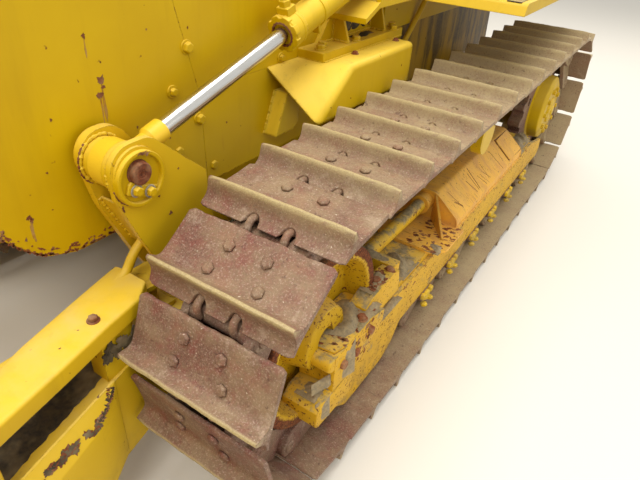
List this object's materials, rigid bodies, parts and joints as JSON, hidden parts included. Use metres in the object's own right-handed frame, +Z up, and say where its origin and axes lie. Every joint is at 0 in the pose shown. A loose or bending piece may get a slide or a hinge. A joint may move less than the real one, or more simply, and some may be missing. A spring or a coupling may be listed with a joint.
{
  "type": "crawler bulldozer",
  "caption": "Crawler bulldozer: tracked undercarriage, engine hood, open operator station under a canopy, and a push frame whose blade lifts, angles and tilts on hydraulic cylinders.",
  "frame": {"origin": "on the ground under the middle of the whole machine's bounding box", "axes": "+X to the machine's left, the blade faces -Y, +Z up"},
  "size_m": [2.916, 4.4, 2.76],
  "materials": {
    "yellow_paint": "aged yellow enamel with rust and dust",
    "black_paint": "worn black enamel",
    "track_steel": "rusty track steel with dried soil",
    "edge_steel": "scoured wear steel",
    "chrome": "hard chrome rod with grease",
    "exhaust_steel": "heat-blued rusty steel",
    "seat_vinyl": "dusty black vinyl",
    "core_black": "dusty radiator core",
    "lamp_glass": "lamp body with a clear lens"
  },
  "bodies": {
    "machine": {"track_left": "track_steel", "track_right": "track_steel", "idlers": "track_steel", "sprockets": "track_steel", "final_drives": "yellow_paint", "track_frame_left": "yellow_paint", "track_frame_right": "yellow_paint", "track_rollers": "track_steel", "carrier_rollers": "yellow_paint", "idler_yokes": "yellow_paint", "recoil_covers": "yellow_paint", "main_frame": "yellow_paint", "radiator_guard": "yellow_paint", "grille": "black_paint", "radiator_core": "core_black", "engine_block": "exhaust_steel", "engine_hood": "yellow_paint", "side_panels": "yellow_paint", "exhaust_stack": "exhaust_steel", "air_cleaner": "black_paint", "dash_console": "black_paint", "floor_deck": "black_paint", "seat": "seat_vinyl", "fenders": "yellow_paint", "rear_tank": "yellow_paint", "canopy_frame": "yellow_paint", "canopy_roof": "yellow_paint", "lamps": "lamp_glass", "side_boxes": "yellow_paint", "cylinder_supports": "yellow_paint"},
    "push_frame": {"push_frame": "yellow_paint", "cylinder_covers": "yellow_paint"},
    "swivel": {"swivel_frame": "yellow_paint"},
    "blade": {"blade": "yellow_paint", "cutting_edge": "edge_steel"},
    "lift_barrel_left": {"lift_barrel_left": "yellow_paint"},
    "lift_barrel_right": {"lift_barrel_right": "yellow_paint"},
    "lift_rod_left": {"lift_rod_left": "chrome"},
    "lift_rod_right": {"lift_rod_right": "chrome"},
    "angle_barrel_left": {"angle_barrel_left": "yellow_paint"},
    "angle_barrel_right": {"angle_barrel_right": "yellow_paint"},
    "angle_rod_left": {"angle_rod_left": "chrome"},
    "angle_rod_right": {"angle_rod_right": "chrome"},
    "tilt_barrel": {"tilt_barrel": "yellow_paint"},
    "tilt_rod": {"tilt_rod": "chrome"}
  },
  "joints": [
    {"name": "blade_lift", "type": "hinge", "parent": "machine", "child": "push_frame", "pos_m": [0, 0.3, 0.43], "axis": [-1, 0, 0], "range_deg": [-8, 20]},
    {"name": "blade_angle", "type": "hinge", "parent": "push_frame", "child": "swivel", "pos_m": [0, -1.862, 0.318], "axis": [0, 0, 1], "range_deg": [-25, 25]},
    {"name": "blade_tilt", "type": "hinge", "parent": "swivel", "child": "blade", "pos_m": [0, -1.98, 0.314], "axis": [0, -1, 0], "range_deg": [-8, 8]},
    {"name": "lift_trunnion_left", "type": "hinge", "parent": "machine", "child": "lift_barrel_left", "pos_m": [0.537, 0.1, 1.278], "axis": [-1, 0, 0], "range_deg": [-8.6, 21.2]},
    {"name": "lift_rod_slide_left", "type": "slide", "parent": "lift_barrel_left", "child": "lift_rod_left", "axis": [0, -0.9574, -0.2889], "range_m": [-0.306, 0.126]},
    {"name": "angle_pivot_left", "type": "hinge", "parent": "push_frame", "child": "angle_barrel_left", "pos_m": [0.537, -1, 0.56], "axis": [0, 0, 1], "range_deg": [-0.3, 0.3]},
    {"name": "angle_rod_slide_left", "type": "slide", "parent": "angle_barrel_left", "child": "angle_rod_left", "axis": [0, -1, 0], "range_m": [-0.231, 0.231]},
    {"name": "lift_trunnion_right", "type": "hinge", "parent": "machine", "child": "lift_barrel_right", "pos_m": [-0.537, 0.1, 1.278], "axis": [-1, 0, 0], "range_deg": [-8.6, 21.2]},
    {"name": "lift_rod_slide_right", "type": "slide", "parent": "lift_barrel_right", "child": "lift_rod_right", "axis": [0, -0.9574, -0.2889], "range_m": [-0.306, 0.126]},
    {"name": "angle_pivot_right", "type": "hinge", "parent": "push_frame", "child": "angle_barrel_right", "pos_m": [-0.537, -1, 0.56], "axis": [0, 0, 1], "range_deg": [-0.3, 0.3]},
    {"name": "angle_rod_slide_right", "type": "slide", "parent": "angle_barrel_right", "child": "angle_rod_right", "axis": [0, -1, 0], "range_m": [-0.231, 0.231]},
    {"name": "tilt_pivot", "type": "hinge", "parent": "swivel", "child": "tilt_barrel", "pos_m": [-0.4, -2.012, 0.69], "axis": [0, -1, 0], "range_deg": [-2.6, 2.6]},
    {"name": "tilt_rod_slide", "type": "slide", "parent": "tilt_barrel", "child": "tilt_rod", "axis": [1, 0, 0], "range_m": [-0.056, 0.056]}
  ],
  "couplings": [
    {"joint": "lift_trunnion_left", "follows": "blade_lift", "ratio": 1.0377},
    {"joint": "lift_rod_slide_left", "follows": "blade_lift", "m_per_rad": -0.86069},
    {"joint": "angle_pivot_left", "follows": "blade_angle", "ratio": 0.0067038},
    {"joint": "angle_rod_slide_left", "follows": "blade_angle", "m_per_rad": -0.52079},
    {"joint": "lift_trunnion_right", "follows": "blade_lift", "ratio": 1.0377},
    {"joint": "lift_rod_slide_right", "follows": "blade_lift", "m_per_rad": -0.86069},
    {"joint": "angle_pivot_right", "follows": "blade_angle", "ratio": 0.0067038},
    {"joint": "angle_rod_slide_right", "follows": "blade_angle", "m_per_rad": 0.52079},
    {"joint": "tilt_pivot", "follows": "blade_tilt", "ratio": 0.28606},
    {"joint": "tilt_rod_slide", "follows": "blade_tilt", "m_per_rad": -0.37602}
  ]
}
